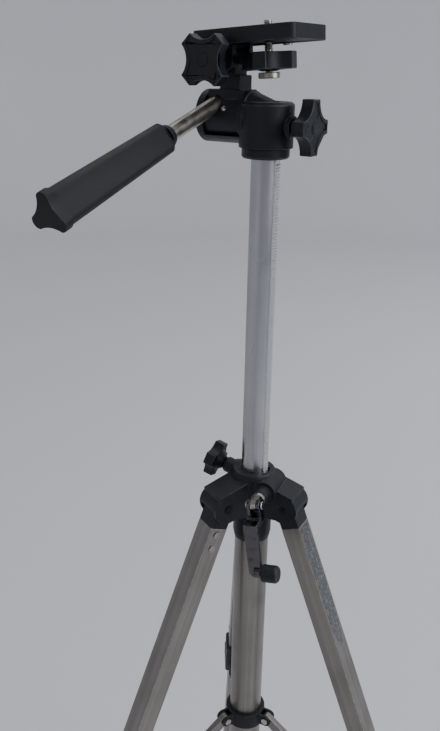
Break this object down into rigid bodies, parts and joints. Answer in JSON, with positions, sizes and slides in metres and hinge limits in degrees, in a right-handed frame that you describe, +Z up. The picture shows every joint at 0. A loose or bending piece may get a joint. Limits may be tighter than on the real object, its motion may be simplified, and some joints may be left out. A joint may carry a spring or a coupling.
{
  "type": "camera tripod",
  "caption": "Folding aluminium tripod with telescoping legs, sliding leg brace, geared centre column and three-way pan head with a screw-topped camera platform.",
  "frame": {"origin": "on the floor under the centre of the outline, legs fully extended and spread", "axes": "+Z up along the centre column; +Y towards the leg that stands behind the column; the pan head looks 34 degrees to the +X side of +Y"},
  "size_m": [0.7038, 0.613, 1.2933],
  "materials": {
    "black_plastic": "satin moulded",
    "plated_steel": "plated",
    "anodised_aluminium": "satin anodised",
    "rubber": "matt",
    "column_aluminium": "drawn, satin",
    "rack_plastic": "moulded",
    "dark_chrome": "dark plated"
  },
  "bodies": {
    "shoulder": {"shoulder_casting": "black_plastic", "leg_hinge_pins": "plated_steel", "centre_tube": "anodised_aluminium", "tube_end_cap": "black_plastic", "column_bush": "black_plastic"},
    "leg_a": {"hinge_cap_a": "black_plastic", "upper_channel_a": "anodised_aluminium", "side_rivets_a": "plated_steel", "upper_lock_a": "black_plastic"},
    "upper_lever_a": {"upper_lever_a": "black_plastic"},
    "middle_leg_a": {"middle_channel_a": "anodised_aluminium", "middle_lock_a": "black_plastic"},
    "middle_lever_a": {"middle_lever_a": "black_plastic"},
    "lower_leg_a": {"lower_channel_a": "anodised_aluminium", "foot_a": "rubber"},
    "brace_strut_a": {"brace_strut_a": "anodised_aluminium"},
    "leg_b": {"hinge_cap_b": "black_plastic", "upper_channel_b": "anodised_aluminium", "side_rivets_b": "plated_steel", "upper_lock_b": "black_plastic"},
    "upper_lever_b": {"upper_lever_b": "black_plastic"},
    "middle_leg_b": {"middle_channel_b": "anodised_aluminium", "middle_lock_b": "black_plastic"},
    "middle_lever_b": {"middle_lever_b": "black_plastic"},
    "lower_leg_b": {"lower_channel_b": "anodised_aluminium", "foot_b": "rubber"},
    "brace_strut_b": {"brace_strut_b": "anodised_aluminium"},
    "leg_c": {"hinge_cap_c": "black_plastic", "upper_channel_c": "anodised_aluminium", "side_rivets_c": "plated_steel", "upper_lock_c": "black_plastic"},
    "upper_lever_c": {"upper_lever_c": "black_plastic"},
    "middle_leg_c": {"middle_channel_c": "anodised_aluminium", "middle_lock_c": "black_plastic"},
    "middle_lever_c": {"middle_lever_c": "black_plastic"},
    "lower_leg_c": {"lower_channel_c": "anodised_aluminium", "foot_c": "rubber"},
    "brace_strut_c": {"brace_strut_c": "anodised_aluminium"},
    "brace_collar": {"brace_collar": "black_plastic", "brace_pins": "plated_steel"},
    "column": {"column_tube": "column_aluminium", "column_rack": "rack_plastic", "pan_base": "black_plastic"},
    "crank": {"pinion_shaft": "plated_steel", "crank_cross_pin": "plated_steel"},
    "crank_arm": {"crank_arm": "dark_chrome"},
    "crank_knob": {"crank_knob": "black_plastic"},
    "column_lock": {"column_lock_knob": "black_plastic"},
    "pan_head": {"pan_body": "black_plastic"},
    "pan_lock": {"pan_lock_knob": "black_plastic"},
    "tilt_head": {"tilt_bracket": "black_plastic", "tilt_axle": "plated_steel"},
    "handle": {"handle_rod": "plated_steel", "handle_grip": "black_plastic"},
    "side_tilt_lock": {"side_tilt_knob": "black_plastic"},
    "platform": {"camera_platform": "black_plastic", "side_tilt_nut": "plated_steel"},
    "camera_screw": {"camera_screw": "plated_steel"},
    "camera_lock_wheel": {"camera_lock_wheel": "black_plastic"},
    "video_pin": {"video_pin": "plated_steel"}
  },
  "joints": [
    {"name": "leg_a_fold", "type": "hinge", "parent": "shoulder", "child": "leg_a", "pos_m": [-0.02944, -0.115, 0.905], "axis": [0.5, -0.866, 0], "range_deg": [0, 19]},
    {"name": "middle_leg_a_slide", "type": "slide", "parent": "leg_a", "child": "middle_leg_a", "axis": [0.3174, 0.1833, 0.9304], "range_m": [0, 0.25]},
    {"name": "lower_leg_a_slide", "type": "slide", "parent": "middle_leg_a", "child": "lower_leg_a", "axis": [0.3174, 0.1833, 0.9304], "range_m": [0, 0.25]},
    {"name": "upper_lever_a_flip", "type": "hinge", "parent": "leg_a", "child": "upper_lever_a", "pos_m": [-0.15208, -0.1858, 0.5889], "axis": [0.5, -0.866, 0], "range_deg": [0, 90]},
    {"name": "middle_lever_a_flip", "type": "hinge", "parent": "middle_leg_a", "child": "middle_lever_a", "pos_m": [-0.24902, -0.24177, 0.30089], "axis": [0.5, -0.866, 0], "range_deg": [0, 90]},
    {"name": "leg_b_fold", "type": "hinge", "parent": "shoulder", "child": "leg_b", "pos_m": [0.02944, -0.115, 0.905], "axis": [0.5, 0.866, 0], "range_deg": [0, 19]},
    {"name": "middle_leg_b_slide", "type": "slide", "parent": "leg_b", "child": "middle_leg_b", "axis": [-0.3174, 0.1833, 0.9304], "range_m": [0, 0.25]},
    {"name": "lower_leg_b_slide", "type": "slide", "parent": "middle_leg_b", "child": "lower_leg_b", "axis": [-0.3174, 0.1833, 0.9304], "range_m": [0, 0.25]},
    {"name": "upper_lever_b_flip", "type": "hinge", "parent": "leg_b", "child": "upper_lever_b", "pos_m": [0.15208, -0.1858, 0.5889], "axis": [0.5, 0.866, 0], "range_deg": [0, 90]},
    {"name": "middle_lever_b_flip", "type": "hinge", "parent": "middle_leg_b", "child": "middle_lever_b", "pos_m": [0.24902, -0.24177, 0.30089], "axis": [0.5, 0.866, 0], "range_deg": [0, 90]},
    {"name": "leg_c_fold", "type": "hinge", "parent": "shoulder", "child": "leg_c", "pos_m": [0, -0.064, 0.905], "axis": [-1, 0, 0], "range_deg": [0, 19]},
    {"name": "middle_leg_c_slide", "type": "slide", "parent": "leg_c", "child": "middle_leg_c", "axis": [0, -0.3665, 0.9304], "range_m": [0, 0.25]},
    {"name": "lower_leg_c_slide", "type": "slide", "parent": "middle_leg_c", "child": "lower_leg_c", "axis": [0, -0.3665, 0.9304], "range_m": [0, 0.25]},
    {"name": "upper_lever_c_flip", "type": "hinge", "parent": "leg_c", "child": "upper_lever_c", "pos_m": [0, 0.0776, 0.5889], "axis": [-1, 0, 0], "range_deg": [0, 90]},
    {"name": "middle_lever_c_flip", "type": "hinge", "parent": "middle_leg_c", "child": "middle_lever_c", "pos_m": [0, 0.18955, 0.30089], "axis": [-1, 0, 0], "range_deg": [0, 90]},
    {"name": "brace_collar_slide", "type": "slide", "parent": "shoulder", "child": "brace_collar", "axis": [0, 0, 1], "range_m": [0, 0.048]},
    {"name": "brace_strut_a_fold", "type": "hinge", "parent": "brace_collar", "child": "brace_strut_a", "pos_m": [-0.02079, -0.11, 0.66], "axis": [0.5, -0.866, 0], "range_deg": [0, 54.9]},
    {"name": "brace_strut_b_fold", "type": "hinge", "parent": "brace_collar", "child": "brace_strut_b", "pos_m": [0.02079, -0.11, 0.66], "axis": [0.5, 0.866, 0], "range_deg": [0, 54.9]},
    {"name": "brace_strut_c_fold", "type": "hinge", "parent": "brace_collar", "child": "brace_strut_c", "pos_m": [0, -0.074, 0.66], "axis": [-1, 0, 0], "range_deg": [0, 54.9]},
    {"name": "column_lift", "type": "slide", "parent": "shoulder", "child": "column", "axis": [0, 0, 1], "range_m": [-0.2304, 0]},
    {"name": "crank_turn", "type": "hinge", "parent": "shoulder", "child": "crank", "pos_m": [0.01544, -0.1052, 0.92], "axis": [-0.4226, -0.9063, 0], "range_deg": [-2, 2162]},
    {"name": "crank_arm_swing", "type": "hinge", "parent": "crank", "child": "crank_arm", "pos_m": [-0.00231, -0.14327, 0.92], "axis": [-0.8951, 0.4174, -0.1564], "range_deg": [0, 60]},
    {"name": "crank_knob_spin", "type": "hinge", "parent": "crank_arm", "child": "crank_knob", "pos_m": [0.00754, -0.16551, 0.86823], "axis": [0.8951, -0.4174, 0.1564], "continuous": true},
    {"name": "column_lock_turn", "type": "hinge", "parent": "shoulder", "child": "column_lock", "pos_m": [0, -0.098, 0.921], "axis": [-0.8403, 0.4851, 0.2419], "range_deg": [0, 180]},
    {"name": "pan", "type": "hinge", "parent": "column", "child": "pan_head", "pos_m": [0, -0.098, 1.204], "axis": [0, 0, 1], "continuous": true},
    {"name": "pan_lock_turn", "type": "hinge", "parent": "pan_head", "child": "pan_lock", "pos_m": [0.01658, -0.10918, 1.22], "axis": [0.829, -0.5592, 0], "range_deg": [0, 180]},
    {"name": "tilt", "type": "hinge", "parent": "pan_head", "child": "tilt_head", "pos_m": [-0.04311, -0.06892, 1.225], "axis": [0.829, -0.5592, 0], "range_deg": [-80, 42]},
    {"name": "handle_twist", "type": "hinge", "parent": "tilt_head", "child": "handle", "pos_m": [-0.04174, -0.09156, 1.2318], "axis": [-0.5339, -0.7915, -0.2974], "range_deg": [0, 180]},
    {"name": "side_tilt_lock_turn", "type": "hinge", "parent": "tilt_head", "child": "side_tilt_lock", "pos_m": [-0.04165, -0.10609, 1.265], "axis": [-0.5592, -0.829, 0], "range_deg": [0, 180]},
    {"name": "side_tilt", "type": "hinge", "parent": "tilt_head", "child": "platform", "pos_m": [-0.02487, -0.08122, 1.265], "axis": [-0.5592, -0.829, 0], "range_deg": [-4, 86]},
    {"name": "camera_screw_turn", "type": "hinge", "parent": "platform", "child": "camera_screw", "pos_m": [-0.00128, -0.09714, 1.28804], "axis": [-0.0578, 0.039, 0.9976], "continuous": true},
    {"name": "camera_lock_wheel_turn", "type": "hinge", "parent": "camera_screw", "child": "camera_lock_wheel", "pos_m": [-0.00006, -0.09796, 1.26709], "axis": [-0.0578, 0.039, 0.9976], "continuous": true},
    {"name": "video_pin_press", "type": "slide", "parent": "platform", "child": "video_pin", "axis": [0.0578, -0.039, -0.9976], "range_m": [0, 0.0028], "stiffness_N_per_m": 400, "springref_m": -0.004}
  ],
  "couplings": [
    {"joint": "leg_b_fold", "follows": "leg_a_fold", "ratio": 1},
    {"joint": "leg_c_fold", "follows": "leg_a_fold", "ratio": 1},
    {"joint": "brace_collar_slide", "follows": "leg_a_fold", "m_per_rad": 0.14324},
    {"joint": "brace_strut_a_fold", "follows": "leg_a_fold", "ratio": 2.8789},
    {"joint": "brace_strut_b_fold", "follows": "leg_a_fold", "ratio": 2.8789},
    {"joint": "brace_strut_c_fold", "follows": "leg_a_fold", "ratio": 2.8789},
    {"joint": "crank_turn", "follows": "column_lift", "rad_per_m": -163.62}
  ]
}
